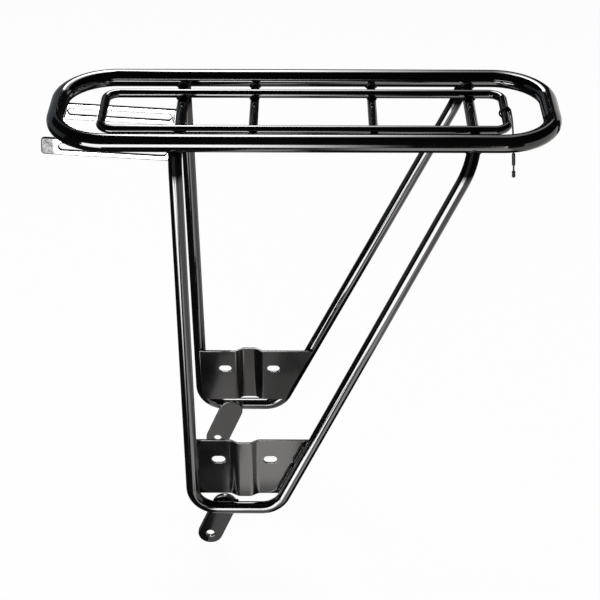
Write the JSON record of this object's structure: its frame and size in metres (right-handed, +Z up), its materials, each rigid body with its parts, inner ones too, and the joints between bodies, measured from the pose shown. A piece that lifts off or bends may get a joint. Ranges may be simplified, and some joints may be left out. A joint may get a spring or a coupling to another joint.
{
  "type": "bicycle rear rack",
  "caption": "Gloss black tubular steel bicycle rear rack with a long deck loop, inner luggage ring, V-shaped legs, slotted bracket plates, dropout straps and swinging slotted front stays.",
  "frame": {"origin": "Middle of the bounding box seen from above, at the height of the lowest points, the tips of the dropout straps.", "axes": "+X points to the rear of the bicycle, +Y to its right, +Z up; the deck lies level."},
  "size_m": [0.4584, 0.1812, 0.4476],
  "materials": {
    "black_gloss_paint": "gloss black enamel over steel tube",
    "bright_steel": "bright plated flat bar, lightly polished",
    "zinc_fastener": "zinc plated, satin",
    "lead_jacket": "black cable jacket, satin"
  },
  "bodies": {
    "frame": {"loop_tube": "black_gloss_paint", "luggage_ring": "black_gloss_paint", "crossbar_front": "black_gloss_paint", "crossbar_mid_front": "black_gloss_paint", "crossbar_mid_rear": "black_gloss_paint", "crossbar_rear": "black_gloss_paint", "leg_left": "black_gloss_paint", "bracket_plate_left": "black_gloss_paint", "dropout_strap_left": "black_gloss_paint", "stay_lug_left": "black_gloss_paint", "pivot_bolt_left": "zinc_fastener", "pivot_washer_left": "zinc_fastener", "pivot_nut_left": "zinc_fastener", "leg_right": "black_gloss_paint", "bracket_plate_right": "black_gloss_paint", "dropout_strap_right": "black_gloss_paint", "stay_lug_right": "black_gloss_paint", "pivot_bolt_right": "zinc_fastener", "pivot_washer_right": "zinc_fastener", "pivot_nut_right": "zinc_fastener"},
    "left_stay": {"front_stay_left": "bright_steel"},
    "right_stay": {"front_stay_right": "bright_steel"},
    "tail_light_lead": {"tail_lead": "lead_jacket", "lead_sleeve": "lead_jacket", "lead_terminal": "zinc_fastener"}
  },
  "joints": [
    {"name": "left_stay_swing", "type": "hinge", "parent": "frame", "child": "left_stay", "pos_m": [-0.11211, -0.034, 0.41406], "axis": [0, 1, 0], "range_deg": [-180, 1.5]},
    {"name": "right_stay_swing", "type": "hinge", "parent": "frame", "child": "right_stay", "pos_m": [-0.11211, 0.034, 0.41406], "axis": [0, 1, 0], "range_deg": [-180, 1.5]},
    {"name": "lead_swing", "type": "hinge", "parent": "frame", "child": "tail_light_lead", "pos_m": [0.18119, 0, 0.43766], "axis": [0, 1, 0], "range_deg": [-20, 20]}
  ]
}
